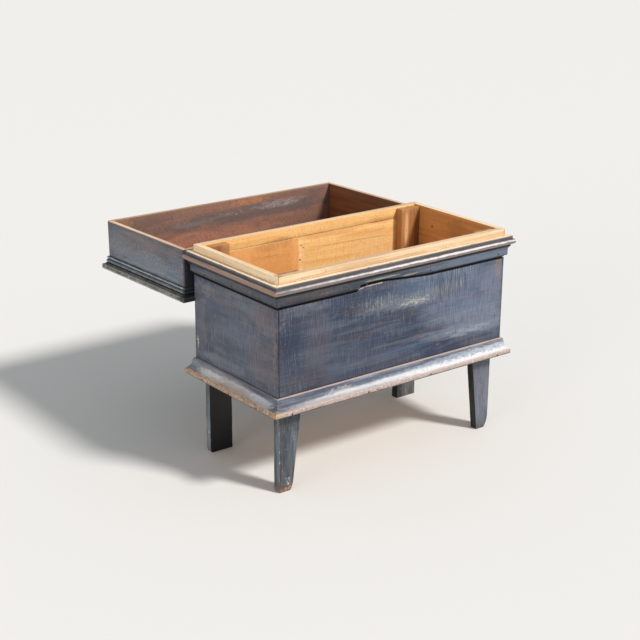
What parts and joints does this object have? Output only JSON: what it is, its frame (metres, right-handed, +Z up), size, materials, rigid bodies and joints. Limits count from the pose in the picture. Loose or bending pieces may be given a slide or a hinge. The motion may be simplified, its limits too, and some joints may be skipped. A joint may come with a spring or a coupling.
{
  "type": "blanket chest",
  "caption": "Painted pine blanket chest on four corner posts, with moulded waist and base, and a deep box lid hinged at the back, shown open.",
  "frame": {"origin": "on the floor, at the middle of the chest's width and midway between its foremost and rearmost points with the lid open", "axes": "+Z up, the front of the chest faces -Y and the open lid hangs on the +Y side, +X to the right as seen from the front"},
  "size_m": [0.9734, 0.9762, 0.686],
  "materials": {
    "case_boards": "slate-blue paint worn to brown pine, matt",
    "case_edge_wood": "bare aged pine, matt",
    "floor_wood": "bare aged pine, matt",
    "posts": "worn slate-blue paint on pine, matt",
    "waist_moulding": "worn slate-blue paint on pine, rubbed edges",
    "base_moulding": "worn slate-blue paint on pine, rubbed edges",
    "lid_boards": "worn slate-blue paint on pine, matt",
    "lid_top": "worn slate-blue paint on pine, matt",
    "lid_moulding": "worn slate-blue paint on pine, rubbed edges",
    "hinge_iron": "dark wrought iron, lightly rusted",
    "nail_iron": "rusted iron"
  },
  "bodies": {
    "chest": {"front_board": "case_boards", "left_end_board": "case_boards", "right_end_board": "case_boards", "back_board": "case_boards", "back_top_strip": "case_edge_wood", "floor_board_front": "floor_wood", "floor_board_middle": "floor_wood", "floor_board_rear": "floor_wood", "post_front_left": "posts", "post_front_right": "posts", "post_rear_left": "posts", "post_rear_right": "posts", "waist_moulding_front": "waist_moulding", "waist_moulding_back": "waist_moulding", "waist_moulding_left": "waist_moulding", "waist_moulding_right": "waist_moulding", "base_moulding_front": "base_moulding", "base_moulding_back": "base_moulding", "base_moulding_left": "base_moulding", "base_moulding_right": "base_moulding", "hinge_leaf_case_left": "hinge_iron", "hinge_leaf_case_right": "hinge_iron", "hinge_pin_left": "hinge_iron", "hinge_pin_right": "hinge_iron", "hinge_screws_case": "hinge_iron", "case_nails": "nail_iron", "floor_nails": "nail_iron", "waist_moulding_nails": "nail_iron", "base_moulding_nails": "nail_iron"},
    "lid": {"lid_front_board": "lid_boards", "lid_back_board": "lid_boards", "lid_left_board": "lid_boards", "lid_right_board": "lid_boards", "lid_top_board_front": "lid_top", "lid_top_board_rear": "lid_top", "lid_moulding_front": "lid_moulding", "lid_moulding_back": "lid_moulding", "lid_moulding_left": "lid_moulding", "lid_moulding_right": "lid_moulding", "hinge_leaf_lid_left": "hinge_iron", "hinge_leaf_lid_right": "hinge_iron", "hinge_screws_lid": "hinge_iron", "lid_corner_nails": "nail_iron", "lid_top_nails": "nail_iron", "lid_moulding_nails": "nail_iron"}
  },
  "joints": [
    {"name": "lid_hinge", "type": "hinge", "parent": "chest", "child": "lid", "pos_m": [0, -0.00402, 0.66415], "axis": [1, 0, 0], "range_deg": [0, 181]}
  ]
}
